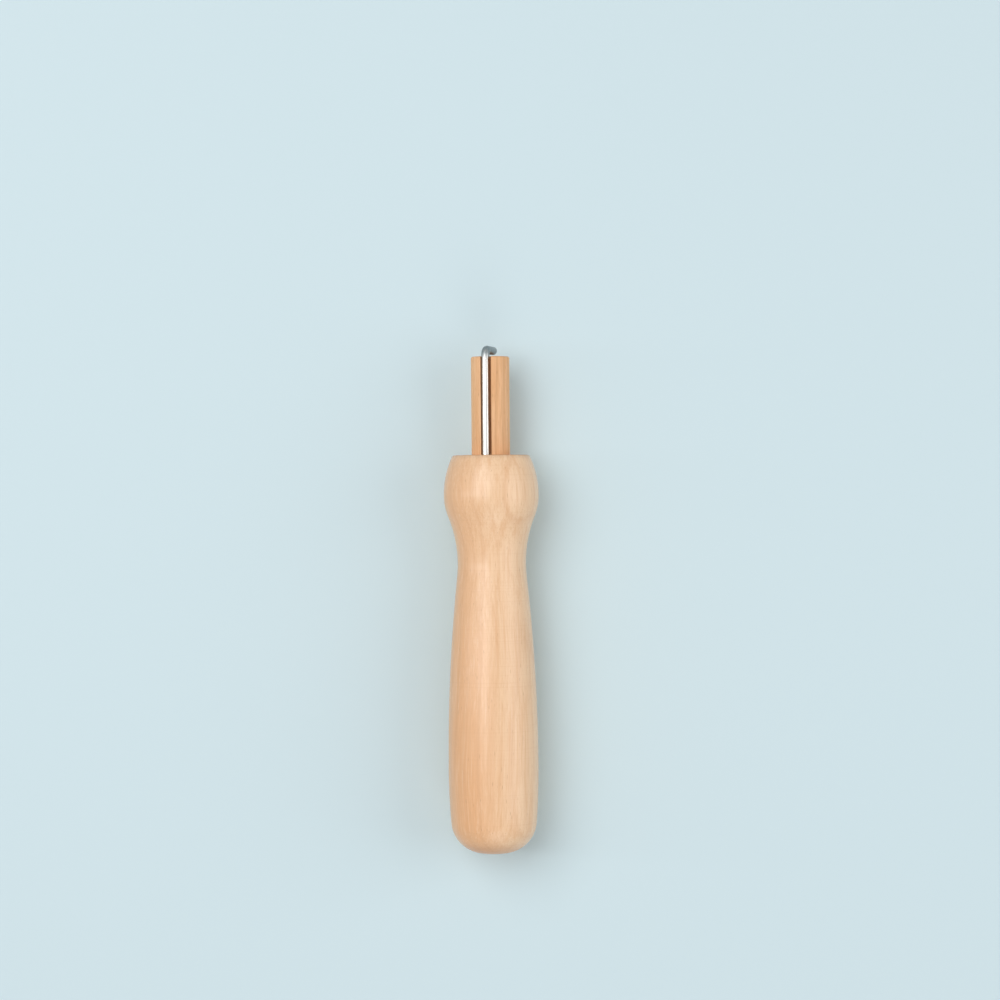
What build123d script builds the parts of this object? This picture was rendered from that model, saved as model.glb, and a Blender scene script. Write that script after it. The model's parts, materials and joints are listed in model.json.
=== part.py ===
from build123d import *
from math import atan2, cos, degrees, radians, sin
import os

# Felting needle with a turned wooden handle, lying on its side
# Three pieces: the handle, a slotted peg that pushes into its bore, and the steel needle.
# The needle lies in the peg's slot, hooks over the peg's free end, and has its point
# stored inside the handle.
# Millimetres. X runs across the tool, Y along it towards the bent end of the needle, and
# Z up. The origin is the middle of the tool's footprint on the surface that it lies on.
# Heights are measured along the tool from the butt of the handle.

# Handle outline, from the butt up
butt_radius = 2.4
butt_rounding = 7.9
palm_radius = 10.8
palm_height = 21.0
waist_radius = 8.2
waist_height = 69.5
bulb_radius = 11.4
bulb_height = 85.8
bulb_to_end_length = 9.6
shoulder_radius = 9.2
shoulder_rounding = 0.6

# The outline is an S of two arcs on each side of the waist. The arcs meet at these shares
# of the way up from the palm and from the waist
palm_to_waist_share = 0.935
waist_to_bulb_share = 0.687

# Bore in the handle
bore_clearance = 0.05
bore_mouth_chamfer = 0.3
drill_point_length = 2.7
point_room = 6.0

# Peg
peg_diameter = 9.2
peg_exposed = 23.6
peg_inserted = 20.0
peg_end_chamfer = 0.25

# Slot in the peg, turned to the side of straight up by this many degrees
slot_turn = 14
slot_clearance = 0.05
slot_play = 0.6
shank_cover = 0.1

# Needle
needle_length = 78.0
shank_diameter = 2.0
shank_length = 30.0
crank_length = 7.6
crank_bend_radius = 1.6
crank_end_chamfer = 0.2
shank_taper_length = 1.6
neck_diameter = 1.2
neck_length = 20.0
neck_taper_length = 2.4
blade_diameter = 0.72
blade_height = 0.60
blade_ramp_length = 1.2
point_length = 3.6
point_diameter = 0.07
point_belly_share = 0.62

# Barbs along the edges of the three-sided blade
blade_edges = 3
barbs_per_edge = 3
first_barb_height = 5.0
barb_spacing = 4.8
barb_length = 0.55
barb_depth = 0.075
barb_undercut = 0.03

# How far a cut runs past what it cuts
overrun = 1.0

# Sizes that follow from those above
axis_height = max(palm_radius, bulb_radius)
handle_length = bulb_height + bulb_to_end_length
peg_radius = peg_diameter / 2
bore_radius = peg_radius + bore_clearance
shank_radius = shank_diameter / 2
neck_radius = neck_diameter / 2
blade_radius = blade_diameter / 2
point_radius = point_diameter / 2

peg_foot = handle_length - peg_inserted
peg_length = peg_inserted + peg_exposed
peg_top = peg_foot + peg_length
slot_depth = shank_cover + shank_diameter + slot_clearance
slot_floor = peg_radius - slot_depth
slot_width = shank_diameter + slot_clearance + slot_play

# The needle lies on the slot's floor, against one wall, and its bend starts level with
# the end of the peg
needle_x = shank_radius + slot_clearance - slot_width / 2
needle_y = -(slot_floor + slot_clearance + shank_radius)
crank_height = peg_top + crank_bend_radius
needle_top = crank_height + shank_radius
needle_tip = needle_top - needle_length
shank_end = needle_top - shank_length
neck_start = shank_end - shank_taper_length
neck_end = neck_start - neck_length
blade_start = neck_end - neck_taper_length
point_start = needle_tip + point_length
bore_floor = needle_tip - point_room
butt_y = -needle_top / 2

lengthwise = Vector(0, 1)


def across(height):
    """The plane across the tool at a height, seen from the peg's end, slot towards local -Y."""
    turn = radians(slot_turn)
    return Plane(
        origin=(0, butt_y + height, axis_height),
        x_dir=(cos(turn), 0, sin(turn)),
        z_dir=(0, 1, 0),
    )


def s_curve(low, high, share):
    """Two arcs that meet at this share of the way up, and run lengthwise at their far ends."""
    meeting = tuple(start + share * (end - start) for start, end in zip(low, high))
    TangentArc(low, meeting, tangent=lengthwise)
    TangentArc(high, meeting, tangent=-lengthwise)


# Handle, drawn in a plane through the tool's axis, radius by height, and turned about it
turning_plane = Plane(origin=(0, butt_y, axis_height))
butt = (butt_radius, 0)
palm = (palm_radius, palm_height)
waist = (waist_radius, waist_height)
bulb = (bulb_radius, bulb_height)
shoulder = (shoulder_radius, handle_length)

# How far the side still leans from lengthwise where the butt's rounding ends, in degrees
side_spread = palm_radius - butt_radius - butt_rounding
side_lean = 2 * degrees(atan2(side_spread, palm_height - butt_rounding))

with BuildPart() as handle:
    with BuildSketch(turning_plane) as profile:
        with BuildLine():
            Line((0, 0), butt)
            rounding = JernArc(butt, (1, 0), radius=butt_rounding, arc_size=90 - side_lean)
            TangentArc(palm, rounding @ 1, tangent=-lengthwise)
            s_curve(palm, waist, palm_to_waist_share)
            s_curve(waist, bulb, waist_to_bulb_share)
            TangentArc(bulb, shoulder, tangent=lengthwise)
            Polyline(shoulder, (0, handle_length), (0, 0))
        make_face()
        shoulder_corner = profile.vertices().group_by(Axis.Y)[-1].sort_by(Axis.X)[-1]
        fillet(shoulder_corner, radius=shoulder_rounding)
    revolve(axis=Axis(turning_plane.origin, turning_plane.y_dir))

    # The blind bore, with the cone that the drill leaves
    with Locations(across(handle_length)):
        Hole(radius=bore_radius, depth=handle_length - bore_floor)
    with Locations(across(bore_floor)):
        Cone(
            bottom_radius=0,
            top_radius=bore_radius,
            height=drill_point_length,
            align=(Align.CENTER, Align.CENTER, Align.MAX),
            mode=Mode.SUBTRACT,
        )
    mouth_circles = handle.edges().filter_by(GeomType.CIRCLE).group_by(Axis.Y)[-1]
    chamfer(mouth_circles.sort_by(SortBy.RADIUS)[0], length=bore_mouth_chamfer)
handle.part.label = "handle"


# Slotted peg
with BuildPart() as slotted_peg:
    with BuildSketch(across(peg_foot)):
        Circle(peg_radius)
    extrude(amount=peg_length)
    chamfer(slotted_peg.edges().filter_by(GeomType.CIRCLE), length=peg_end_chamfer)

    # The slot runs the whole length of the peg
    with BuildSketch(across(peg_foot)):
        with Locations((0, -slot_floor)):
            Rectangle(slot_width, slot_depth + overrun, align=(Align.CENTER, Align.MAX))
    extrude(amount=peg_length, mode=Mode.SUBTRACT)
slotted_peg.part.label = "slotted_peg"


# Needle, drawn in the plane of its bend: local X from the shank over the peg, and local Y
# up the needle's own axis
needle_plane = Plane(
    origin=across(0).from_local_coords((needle_x, needle_y, 0)),
    x_dir=across(0).y_dir,
    z_dir=across(0).x_dir,
)

with BuildPart() as needle:
    # The bent end and the shank, one round wire
    with BuildLine(needle_plane) as wire:
        FilletPolyline(
            (crank_length, crank_height),
            (0, crank_height),
            (0, shank_end),
            radius=crank_bend_radius,
        )
    with BuildSketch(Plane(origin=wire.line @ 0, z_dir=wire.line % 0)):
        Circle(shank_radius)
    sweep(path=wire.line)
    crank_end = needle.edges().filter_by(GeomType.CIRCLE).sort_by_distance(wire.line @ 0)[0]
    chamfer(crank_end, length=crank_end_chamfer)

    # Tapers, neck, blade and point, turned about the needle's own axis
    with BuildSketch(needle_plane):
        with BuildLine():
            Polyline(
                (0, needle_tip),
                (0, shank_end),
                (shank_radius, shank_end),
                (neck_radius, neck_start),
                (neck_radius, neck_end),
                (blade_radius, blade_start),
                (blade_radius, point_start),
            )
            ThreePointArc(
                (blade_radius, point_start),
                (
                    point_radius + point_belly_share * (blade_radius - point_radius),
                    (point_start + needle_tip) / 2,
                ),
                (point_radius, needle_tip),
            )
            Line((point_radius, needle_tip), (0, needle_tip))
        make_face()
    revolve(axis=Axis(needle_plane.origin, needle_plane.y_dir))

    # Flats on the three sides of the blade, which ramp out at its upper end
    flat_distance = blade_height - blade_radius
    for side in range(blade_edges):
        side_turn = (side + 1 / 2) * 360 / blade_edges
        with BuildSketch(needle_plane.rotated((0, side_turn, 0))):
            with BuildLine():
                Polyline(
                    (flat_distance, needle_tip - overrun),
                    (flat_distance, blade_start),
                    (neck_radius, blade_start + blade_ramp_length),
                    (neck_radius + overrun, blade_start + blade_ramp_length),
                    (neck_radius + overrun, needle_tip - overrun),
                    close=True,
                )
            make_face()
        extrude(amount=neck_radius, both=True, mode=Mode.SUBTRACT)

    # Barbs, cut into the edges in turn, with the steep side of each towards the point
    for barb in range(blade_edges * barbs_per_edge):
        edge_turn = barb * 360 / blade_edges
        barb_height = needle_tip + first_barb_height + barb * barb_spacing / blade_edges
        with BuildSketch(needle_plane.rotated((0, edge_turn, 0))):
            with BuildLine():
                Polyline(
                    (blade_radius - barb_depth, barb_height + barb_undercut),
                    (blade_radius + barb_depth, barb_height - barb_undercut),
                    (blade_radius + barb_depth, barb_height - 2 * barb_length),
                    close=True,
                )
            make_face()
        extrude(amount=blade_radius, both=True, mode=Mode.SUBTRACT)
needle.part.label = "needle"


os.makedirs("parts", exist_ok=True)
export_step(handle.part, "parts/handle.step")
export_step(slotted_peg.part, "parts/slotted_peg.step")
export_step(needle.part, "parts/needle.step")
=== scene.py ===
import json
import math

import bpy
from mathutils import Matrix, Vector


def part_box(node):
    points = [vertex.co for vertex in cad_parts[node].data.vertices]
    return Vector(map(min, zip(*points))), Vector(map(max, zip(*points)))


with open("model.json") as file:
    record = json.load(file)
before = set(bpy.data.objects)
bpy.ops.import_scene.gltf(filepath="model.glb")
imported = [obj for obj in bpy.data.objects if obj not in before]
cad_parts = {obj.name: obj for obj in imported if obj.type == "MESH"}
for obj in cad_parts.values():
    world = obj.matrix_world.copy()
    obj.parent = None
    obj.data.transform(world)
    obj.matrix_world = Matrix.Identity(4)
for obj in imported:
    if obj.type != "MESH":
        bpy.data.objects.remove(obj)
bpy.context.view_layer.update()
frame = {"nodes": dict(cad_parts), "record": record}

# Felting needle with a turned wooden handle, lying on a pale floor, seen from above
# X runs across the tool, Y along it towards the needle's bent end, and Z up
# The frame and the scene are in metres, and the materials' patterns in millimetres
mm = 0.001
handle_low, handle_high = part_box("handle")
peg_low, peg_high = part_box("slotted_peg")
needle_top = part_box("needle")[1].y
axis_height = (handle_low.z + handle_high.z) / 2
peg_radius = (peg_high.x - peg_low.x) / 2
bore_box = frame["record"]["physics"]["openings"][0]["box_m"]
bore_floor = bore_box[0][1]

# The photo's frame: a pixel's size at the tool's axis, and the pixels where the tool lies
image_pixels = 1000
pixel = 0.24 * mm
tool_top_pixel = 346
tool_axis_pixel = 491.3
image_roll = math.radians(0.5)

# Camera
camera_distance = 0.70
sensor_width = 36.0

# Floor, and the distances over which its lit colour fades to a plain one, and that to white
floor_width = 6.0
lit_to_plain = (0.2, 0.6)
plain_to_white = (0.9, 2.6)

# Light, in watts, and the level of the surround as a light and as what is seen
key_power = 4.2
strip_power = 1.0
fill_power = 1.7
back_power = 1.1
world_strength = 0.33
seen_strength = 1.0

# Wood, in millimetres: the grain's wanderings, and how far walls lie off the peg's surface
wander_size = (14, 55, 14)
wall_start = 0.12
wall_end = 0.30

# Distances below the bore's floor, past the drill's cone, over which its drill lines fade in
bore_fade = (5.0, 4.0)

# Radius over which the handle's shading is smoothed, where its arcs meet
shading_radius = 2.0 * mm

# Steel, in millimetres from the needle's top: the ends of the bend, painted a darker shade, and
# of the ground blade
painted_shade_bend_span = (-3.0, -0.8)
ground_blade = (-51.0, -55.0)


class Graph:
    """A material's node tree, with short calls for the nodes that are used here."""

    def __init__(self, name):
        self.material = bpy.data.materials.new(name)
        self.material.use_nodes = True
        self.tree = self.material.node_tree
        self.shader = self.tree.nodes["Principled BSDF"]
        self.places = self.node("ShaderNodeTexCoord")

    def node(self, kind, sockets=None, **settings):
        """A new node with these settings, and these values or links on its sockets."""
        made = self.tree.nodes.new(kind)
        for name, value in settings.items():
            setattr(made, name, value)
        for name, value in (sockets or {}).items():
            self.put(made.inputs[name], value)
        return made

    def put(self, socket, value):
        """Links an output to the socket, or sets it to a plain value."""
        if isinstance(value, bpy.types.NodeSocket):
            self.tree.links.new(value, socket)
        else:
            socket.default_value = value

    def maths(self, operation, first, second=0.0, third=0.0):
        """The result of an operation on numbers or outputs."""
        made = self.node("ShaderNodeMath", operation=operation)
        for socket, value in zip(made.inputs, (first, second, third)):
            self.put(socket, value)
        return made.outputs[0]

    def vector(self, operation, first, second):
        """The vector that an operation on two vectors gives."""
        made = self.node("ShaderNodeVectorMath", operation=operation)
        self.put(made.inputs[0], first)
        self.put(made.inputs[1], second)
        return made.outputs["Vector"]

    def length(self, vector):
        """The length of a vector."""
        made = self.node("ShaderNodeVectorMath", operation="LENGTH")
        self.put(made.inputs[0], vector)
        return made.outputs["Value"]

    def parts(self, vector):
        """The X, Y and Z of a vector."""
        made = self.node("ShaderNodeSeparateXYZ", {"Vector": vector})
        return made.outputs["X"], made.outputs["Y"], made.outputs["Z"]

    def point(self, origin):
        """The place on the piece in millimetres from an origin in metres."""
        moved = self.vector("SUBTRACT", self.places.outputs["Object"], origin)
        scaled = self.node("ShaderNodeVectorMath", operation="SCALE")
        self.put(scaled.inputs[0], moved)
        self.put(scaled.inputs["Scale"], 1 / mm)
        return scaled.outputs["Vector"]

    def noise(self, point, size, detail=2.0, roughness=0.5):
        """Noise from 0 to 1, whose lumps have this size in millimetres along X, Y and Z."""
        stretched = self.vector("DIVIDE", point, size)
        sockets = {"Vector": stretched, "Scale": 1.0, "Detail": detail, "Roughness": roughness}
        return self.node("ShaderNodeTexNoise", sockets).outputs["Fac"]

    def between(self, value, low, high):
        """How far the value is on the way from low to high, from 0 to 1 and smoothly."""
        sockets = {"Value": value, "From Min": low, "From Max": high}
        made = self.node("ShaderNodeMapRange", sockets, interpolation_type="SMOOTHSTEP")
        return made.outputs["Result"]

    def mix(self, share, first, second, blend="MIX"):
        """A colour this share of the way from the first to the second."""
        made = self.node("ShaderNodeMix", {"Factor": share}, data_type="RGBA", blend_type=blend)
        colours = [socket for socket in made.inputs if socket.type == "RGBA"]
        self.put(colours[0], first)
        self.put(colours[1], second)
        return next(socket for socket in made.outputs if socket.type == "RGBA")

    def tint(self, base, pattern, strength, tone, blend="MIX"):
        """The base colour, with a tone over it where the pattern is 1, this strongly."""
        return self.mix(self.maths("MULTIPLY", pattern, strength), base, tone, blend)

    def bump(self, height, depth, below=None):
        """A bump whose height of 0 to 1 is this many millimetres deep."""
        sockets = {"Height": height, "Distance": depth * mm, "Strength": 1.0}
        made = self.node("ShaderNodeBump", sockets)
        if below is not None:
            self.put(made.inputs["Normal"], below)
        return made.outputs["Normal"]


def colour(red, green, blue):
    """A colour for a shader from its values in an sRGB picture."""
    def linear(value):
        share = value / 255
        return share / 12.92 if share <= 0.04045 else ((share + 0.055) / 1.055) ** 2.4

    return (linear(red), linear(green), linear(blue), 1.0)


white = colour(255, 255, 255)


def seen_rays(tree):
    """1 for the rays that show the surround: the camera's, and those in gloss and glass."""
    rays = tree.nodes.new("ShaderNodeLightPath")
    seen = rays.outputs["Is Camera Ray"]
    for kind in ("Is Glossy Ray", "Is Transmission Ray"):
        either = tree.nodes.new("ShaderNodeMath")
        either.operation = "MAXIMUM"
        tree.links.new(seen, either.inputs[0])
        tree.links.new(rays.outputs[kind], either.inputs[1])
        seen = either.outputs[0]
    return seen


def floor_material():
    """Pale, plain and matt, and just as pale far from the lamps, up to the white surround."""
    graph = Graph("floor_pale")
    plain = colour(212, 231, 237)
    graph.shader.inputs["Base Color"].default_value = plain
    graph.shader.inputs["Roughness"].default_value = 0.9
    distance = graph.length(graph.places.outputs["Object"])
    far_tone = graph.mix(graph.between(distance, *plain_to_white), plain, white)
    glow = graph.node("ShaderNodeEmission", {"Color": far_tone, "Strength": seen_strength})
    far = graph.maths("MULTIPLY", graph.between(distance, *lit_to_plain), seen_rays(graph.tree))
    blended = graph.node("ShaderNodeMixShader")
    near_and_far = (graph.shader.outputs["BSDF"], glow.outputs["Emission"])
    for socket, value in zip(blended.inputs, (far, *near_and_far)):
        graph.put(socket, value)
    graph.put(graph.tree.nodes["Material Output"].inputs["Surface"], blended.outputs["Shader"])
    return graph.material


def flow(graph, place, wander):
    """The place, pushed aside within a band this many millimetres wide, as grain wanders."""
    lumps = graph.vector("DIVIDE", place, wander_size)
    wave = graph.node("ShaderNodeTexNoise", {"Vector": lumps, "Scale": 1.0, "Detail": 1.0})
    centred = graph.vector("SUBTRACT", wave.outputs["Color"], (0.5, 0.5, 0.5))
    pushed = graph.vector("MULTIPLY", centred, (wander, 0, wander))
    return graph.vector("ADD", place, pushed)


def from_pith(graph, grain, pith):
    """The distance from the middle of the tree, and the way round it, in millimetres."""
    across, _, up = graph.parts(graph.vector("SUBTRACT", grain, pith))
    squares = graph.maths("MULTIPLY_ADD", up, up, graph.maths("MULTIPLY", across, across))
    distance = graph.maths("SQRT", squares)
    round_way = graph.maths("MULTIPLY", graph.maths("ARCTAN2", up, across), math.hypot(*pith))
    return distance, round_way


def growth_rings(graph, grain, distance, spacing):
    """Late wood from 0 to 1, a soft line along the outer edge of each ring."""
    ripple_depth = spacing * 0.16
    ripple = graph.noise(grain, size=(2.0, 26, 2.0))
    rippled = graph.maths("MULTIPLY_ADD", ripple, ripple_depth, distance)
    turns = graph.maths("DIVIDE", rippled, spacing)
    within = graph.maths("FRACT", turns)
    rise = graph.maths("POWER", graph.between(within, 0.45, 0.92), 1.6)
    late = graph.maths("MULTIPLY", rise, graph.between(within, 1.0, 0.86))
    strength = graph.node("ShaderNodeTexWhiteNoise", noise_dimensions="1D")
    graph.put(strength.inputs["W"], graph.maths("FLOOR", turns))
    return graph.maths("MULTIPLY", late, graph.between(strength.outputs["Value"], -0.7, 1.0))


def end_rays(graph, distance, round_way, ends):
    """The pale rays that run out from the pith, which only the end grain shows."""
    spread = graph.node("ShaderNodeCombineXYZ", {"X": distance, "Y": round_way})
    rays = graph.noise(spread.outputs["Vector"], size=(2.6, 0.14, 1))
    return graph.maths("MULTIPLY", graph.between(rays, 0.5, 0.72), ends)


def flecks(graph, grain, size, share):
    """Short dark pores from 0 to 1, one in each of this share of cells of this size."""
    stretched = graph.vector("DIVIDE", grain, size)
    sockets = {"Vector": stretched, "Scale": 1.0, "Randomness": 1.0}
    cells = graph.node("ShaderNodeTexVoronoi", sockets)
    shape = graph.between(cells.outputs["Distance"], 0.24, 0.08)
    pick = graph.node("ShaderNodeSeparateColor", {"Color": cells.outputs["Color"]})
    shown = graph.maths("LESS_THAN", pick.outputs["Red"], share)
    depth = graph.between(pick.outputs["Green"], -0.5, 1.0)
    return graph.maths("MULTIPLY", graph.maths("MULTIPLY", shape, shown), depth)


def end_grain(graph):
    """1 where the surface cuts across the fibres, and 0 along them."""
    _, along, _ = graph.parts(graph.places.outputs["Normal"])
    return graph.between(graph.maths("ABSOLUTE", along), 0.55, 1.0)


def radius_of(graph, place):
    """The distance from the tool's axis in millimetres."""
    return graph.length(graph.vector("MULTIPLY", place, (1, 0, 1)))


def handle_material():
    """Pale fine-grained wood, turned, sanded and lacquered to a satin finish."""
    graph = Graph("turned_wood")
    place = graph.point(origin=(0, 0, axis_height))
    across, along, _ = graph.parts(place)
    grain = flow(graph, place, wander=6.0)
    streaks = graph.noise(grain, size=(1.1, 40, 1.1), detail=3.0)
    strands = graph.noise(grain, size=(0.34, 15, 0.34), detail=3.0, roughness=0.55)
    fibres = graph.noise(grain, size=(0.10, 4.0, 0.10), detail=3.0, roughness=0.6)
    pores = flecks(graph, grain, size=(0.34, 3.6, 0.34), share=0.22)
    distance, round_way = from_pith(graph, grain, pith=(-46, 0, -31))
    rings = growth_rings(graph, grain, distance, spacing=3.3)
    ends = end_grain(graph)
    rays = end_rays(graph, distance, round_way, ends)

    # Lathe lines run round the handle, and drill lines round the wall of the bore
    lathe_lines = graph.noise(place, size=(60, 0.45, 60))
    drill_lines = graph.noise(place, size=(3.0, 0.3, 3.0))
    radius = radius_of(graph, place)
    peg_surface = peg_radius / mm
    near_bore = graph.between(radius, peg_surface + wall_end, peg_surface + wall_start)
    past_floor = graph.between(along, *(bore_floor / mm - below for below in bore_fade))
    bored = graph.maths("MULTIPLY", near_bore, past_floor)

    # The wood is more orange towards the butt and in patches; across the handle a painted shade
    # makes one side darker and more orange and the other paler, as the light falls
    patches = graph.noise(place, size=(17, 46, 17), detail=1.0)
    paler_along = graph.maths("MULTIPLY_ADD", along, 0.005, 0.5)
    # Painted shade across the handle: darker and more orange on one side, paler on the other
    along_and_painted_side_shade = graph.maths("MULTIPLY_ADD", across, 0.07, paler_along)
    patches_and_painted_side_shade = graph.maths("MULTIPLY_ADD", patches, 0.6, along_and_painted_side_shade)
    share = graph.between(patches_and_painted_side_shade, 0.0, 1.0)
    wood = graph.mix(share, colour(235, 178, 127), colour(246, 207, 167))

    # Each pattern, how strongly it shows, and its tone
    for pattern, strength, tone in (
        (rings, 0.32, colour(218, 160, 112)),
        (graph.between(streaks, 0.40, 0.75), 0.65, colour(234, 184, 138)),
        (graph.between(strands, 0.48, 0.78), 0.36, colour(222, 170, 124)),
        (graph.between(strands, 0.50, 0.28), 0.30, colour(252, 220, 186)),
        (graph.between(fibres, 0.46, 0.80), 0.40, colour(214, 160, 114)),
        (pores, 0.60, colour(178, 120, 78)),
        (graph.between(lathe_lines, 0.50, 0.75), 0.15, colour(220, 166, 122)),
        (rays, 0.35, colour(250, 214, 176)),
    ):
        wood = graph.tint(wood, pattern, strength, tone)

    # The end grain and the wall of the bore are darker
    drill_share = graph.between(drill_lines, 0.4, 0.65)
    bore_shade = graph.mix(drill_share, colour(214, 186, 162), colour(238, 222, 206))
    wood = graph.tint(wood, ends, 0.9, colour(232, 210, 190), "MULTIPLY")
    wood = graph.tint(wood, bored, 0.9, bore_shade, "MULTIPLY")
    graph.put(graph.shader.inputs["Base Color"], wood)

    # The lacquer lies unevenly over the fibres, and soaks into the end grain and the bore
    unsealed = graph.maths("MAXIMUM", ends, bored)
    sealed_roughness = graph.maths("MULTIPLY_ADD", fibres, 0.16, 0.32)
    roughness = graph.maths("MULTIPLY_ADD", unsealed, 0.14, sealed_roughness)
    graph.put(graph.shader.inputs["Roughness"], roughness)
    rounded = graph.node("ShaderNodeBevel", {"Radius": shading_radius}, samples=4)
    uneven = graph.noise(place, size=(5, 3, 5), detail=1.0)
    waves = graph.bump(uneven, depth=0.025, below=rounded.outputs["Normal"])
    drill_height = graph.maths("MULTIPLY", drill_lines, bored)
    drilled = graph.bump(drill_height, depth=0.06, below=waves)
    turned = graph.bump(lathe_lines, depth=0.006, below=drilled)
    pore_height = graph.maths("MULTIPLY", pores, -1.0)
    open_pores = graph.bump(pore_height, depth=0.02, below=turned)
    raised_strands = graph.bump(strands, depth=0.012, below=open_pores)
    graph.put(graph.shader.inputs["Normal"], raised_strands)
    graph.put(graph.shader.inputs["Coat Normal"], turned)
    graph.shader.inputs["Specular IOR Level"].default_value = 0.4
    graph.shader.inputs["Coat Weight"].default_value = 0.6
    graph.shader.inputs["Coat Roughness"].default_value = 0.2
    return graph.material


def peg_material():
    """A sawn and sanded dowel, bare and a little more orange than the handle."""
    graph = Graph("dowel_wood")
    place = graph.point(origin=(0, 0, axis_height))
    grain = flow(graph, place, wander=2.4)
    streaks = graph.noise(grain, size=(0.6, 18, 0.6), detail=3.0)
    strands = graph.noise(grain, size=(0.2, 8, 0.2), detail=3.0, roughness=0.6)
    fibres = graph.noise(grain, size=(0.08, 2.4, 0.08), detail=3.0, roughness=0.65)
    pores = flecks(graph, grain, size=(0.30, 2.6, 0.30), share=0.3)
    distance, round_way = from_pith(graph, grain, pith=(26, 0, -19))
    rings = growth_rings(graph, grain, distance, spacing=1.9)
    ends = end_grain(graph)
    rays = end_rays(graph, distance, round_way, ends)

    # Saw lines cross the walls and the floor of the slot
    saw_lines = graph.noise(place, size=(0.5, 0.16, 0.9))
    radius = radius_of(graph, place)
    peg_surface = peg_radius / mm
    sawn = graph.between(radius, peg_surface - wall_start, peg_surface - wall_end)

    share = graph.between(streaks, 0.32, 0.72)
    wood = graph.mix(share, colour(245, 196, 150), colour(234, 178, 127))

    # Each pattern, how strongly it shows, and its tone
    for pattern, strength, tone in (
        (rings, 0.45, colour(206, 148, 100)),
        (graph.between(strands, 0.46, 0.78), 0.50, colour(210, 154, 104)),
        (graph.between(fibres, 0.44, 0.80), 0.45, colour(198, 142, 94)),
        (pores, 0.60, colour(158, 102, 64)),
        (sawn, 0.40, colour(200, 146, 102)),
        (rays, 0.35, colour(236, 192, 148)),
    ):
        wood = graph.tint(wood, pattern, strength, tone)
    wood = graph.tint(wood, ends, 0.8, colour(238, 218, 200), "MULTIPLY")
    graph.put(graph.shader.inputs["Base Color"], wood)

    graph.put(graph.shader.inputs["Roughness"], graph.maths("MULTIPLY_ADD", fibres, 0.2, 0.5))
    saw_height = graph.maths("MULTIPLY", saw_lines, sawn)
    saw_marks = graph.bump(saw_height, depth=0.05)
    pore_height = graph.maths("MULTIPLY", pores, -1.0)
    open_pores = graph.bump(pore_height, depth=0.03, below=saw_marks)
    raised_strands = graph.bump(strands, depth=0.03, below=open_pores)
    graph.put(graph.shader.inputs["Normal"], raised_strands)
    graph.shader.inputs["Specular IOR Level"].default_value = 0.35
    return graph.material


def needle_material():
    """Bright drawn steel wire; where the wire bends it is rougher, with a painted shade and
    blue reflection that darken it to blue-grey, and along its ground blade it is dull grey.
    """
    graph = Graph("needle_steel")
    place = graph.point(origin=(0, needle_top, axis_height))
    _, along, _ = graph.parts(place)
    draw_lines = graph.noise(place, size=(0.09, 7.0, 0.09), detail=3.0, roughness=0.55)
    grind_lines = graph.noise(place, size=(0.6, 0.05, 0.6))
    mottle = graph.noise(place, size=(0.7, 0.7, 0.7), detail=3.0)
    painted_shade_bend = graph.between(graph.maths("MULTIPLY_ADD", mottle, 1.6, along), *painted_shade_bend_span)
    ground = graph.between(along, *ground_blade)

    draw_share = graph.between(draw_lines, 0.35, 0.70)
    steel = graph.mix(draw_share, colour(203, 202, 199), colour(186, 185, 182))
    steel = graph.tint(steel, ground, 0.6, colour(164, 165, 166))
    # Painted shade and reflection: the bend of the wire is darkened to a mottled blue-grey
    mottle_share = graph.between(mottle, 0.35, 0.65)
    painted_shade_steel = graph.mix(mottle_share, colour(124, 133, 136), colour(142, 149, 151))
    steel = graph.tint(steel, painted_shade_bend, 0.92, painted_shade_steel)
    graph.put(graph.shader.inputs["Base Color"], steel)
    graph.shader.inputs["Metallic"].default_value = 1.0

    drawn_roughness = graph.maths("MULTIPLY_ADD", draw_lines, 0.12, 0.22)
    dull = graph.maths("MAXIMUM", painted_shade_bend, ground)
    roughness = graph.maths("MULTIPLY_ADD", dull, 0.12, drawn_roughness)
    graph.put(graph.shader.inputs["Roughness"], roughness)
    drawn = graph.bump(draw_lines, depth=0.003)
    grind_height = graph.maths("MULTIPLY", grind_lines, ground)
    graph.put(graph.shader.inputs["Normal"], graph.bump(grind_height, depth=0.004, below=drawn))
    return graph.material


def dress(node, material):
    """Gives a CAD node its material."""
    node.data.materials.clear()
    node.data.materials.append(material)


def make_floor():
    """A wide plane under the tool."""
    bpy.ops.mesh.primitive_plane_add(size=floor_width, location=(0, 0, 0))
    floor = bpy.context.object
    floor.name = "floor"
    floor.data.materials.append(floor_material())


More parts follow.
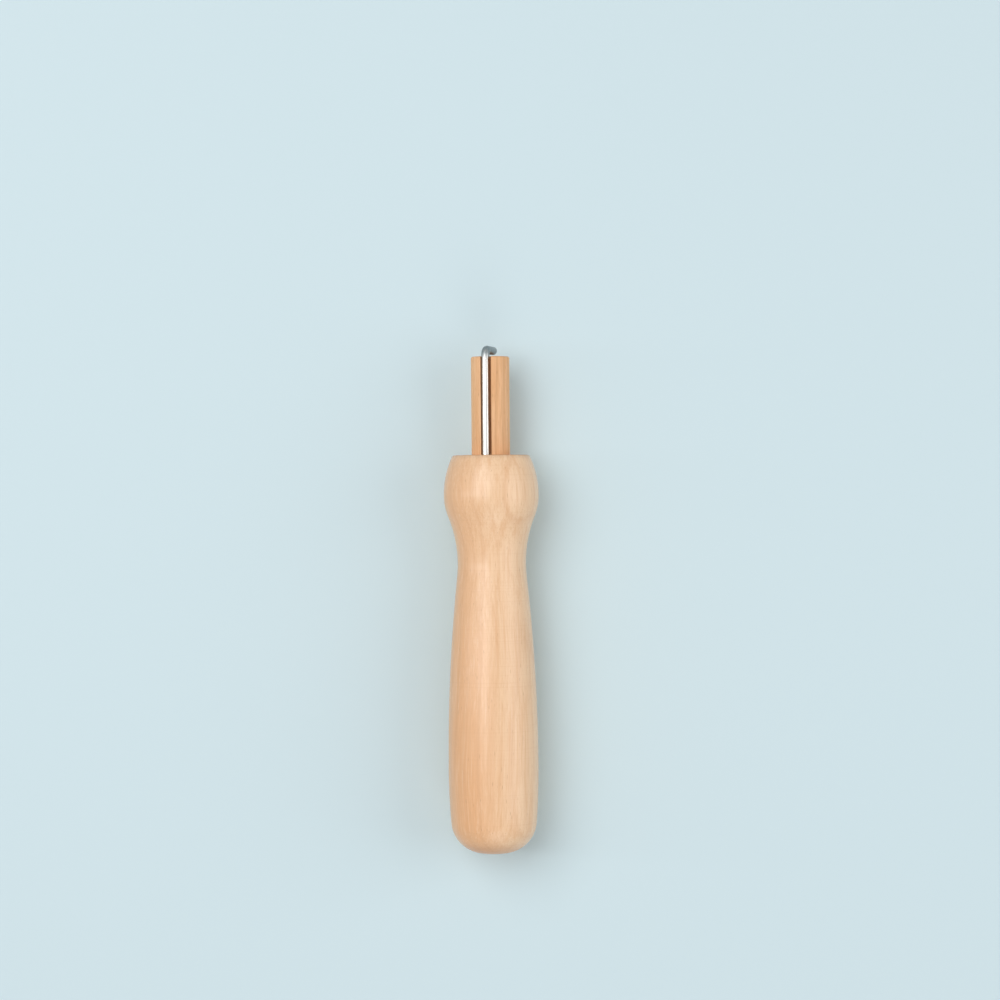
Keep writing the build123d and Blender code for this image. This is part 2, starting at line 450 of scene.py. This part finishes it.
def make_lamp(name, place, width, length, power):
    """A soft lamp that points at the middle of the tool, with its length along the tool."""
    data = bpy.data.lights.new(name, "AREA")
    data.shape = "RECTANGLE"
    data.size = width
    data.size_y = length
    data.energy = power
    lamp = bpy.data.objects.new(name, data)
    bpy.context.scene.collection.objects.link(lamp)
    lamp.location = place
    target = Vector((0, 0, axis_height))
    lamp.rotation_euler = (target - lamp.location).to_track_quat("-Z", "Y").to_euler()


def make_world():
    """Even light from all round, which the camera and reflections see as a white surround."""
    world = bpy.data.worlds.new("studio")
    world.use_nodes = True
    tree = world.node_tree
    background = tree.nodes["Background"]
    background.inputs["Color"].default_value = white
    level = tree.nodes.new("ShaderNodeMapRange")
    level.inputs["To Min"].default_value = world_strength
    level.inputs["To Max"].default_value = seen_strength
    tree.links.new(seen_rays(tree), level.inputs["Value"])
    tree.links.new(level.outputs["Result"], background.inputs["Strength"])
    world.cycles.sampling_method = "NONE"
    bpy.context.scene.world = world


def make_camera():
    """A long lens straight above, framed as the photo is."""
    data = bpy.data.cameras.new("camera")
    data.sensor_width = sensor_width
    data.lens = sensor_width * camera_distance / (image_pixels * pixel)
    camera = bpy.data.objects.new("camera", data)
    bpy.context.scene.collection.objects.link(camera)
    middle = image_pixels / 2
    camera.location = (
        (middle - tool_axis_pixel) * pixel,
        needle_top - (middle - tool_top_pixel) * pixel,
        axis_height + camera_distance,
    )
    camera.rotation_euler = (0, 0, -image_roll)
    bpy.context.scene.camera = camera


make_floor()
make_lamp("key_lamp", place=(-0.35, 0.30, 0.85), width=0.70, length=0.70, power=key_power)
make_lamp("strip_lamp", place=(-0.62, 0.02, 0.60), width=0.06, length=1.10, power=strip_power)
make_lamp("fill_lamp", place=(0.65, 0.05, 0.45), width=0.60, length=0.60, power=fill_power)
make_lamp("back_lamp", place=(0.10, -0.70, 0.55), width=0.50, length=0.50, power=back_power)
make_world()
make_camera()

nodes = frame["nodes"]
dress(nodes["handle"], handle_material())
dress(nodes["slotted_peg"], peg_material())
dress(nodes["needle"], needle_material())

scene = bpy.context.scene
scene.view_settings.view_transform = "Standard"
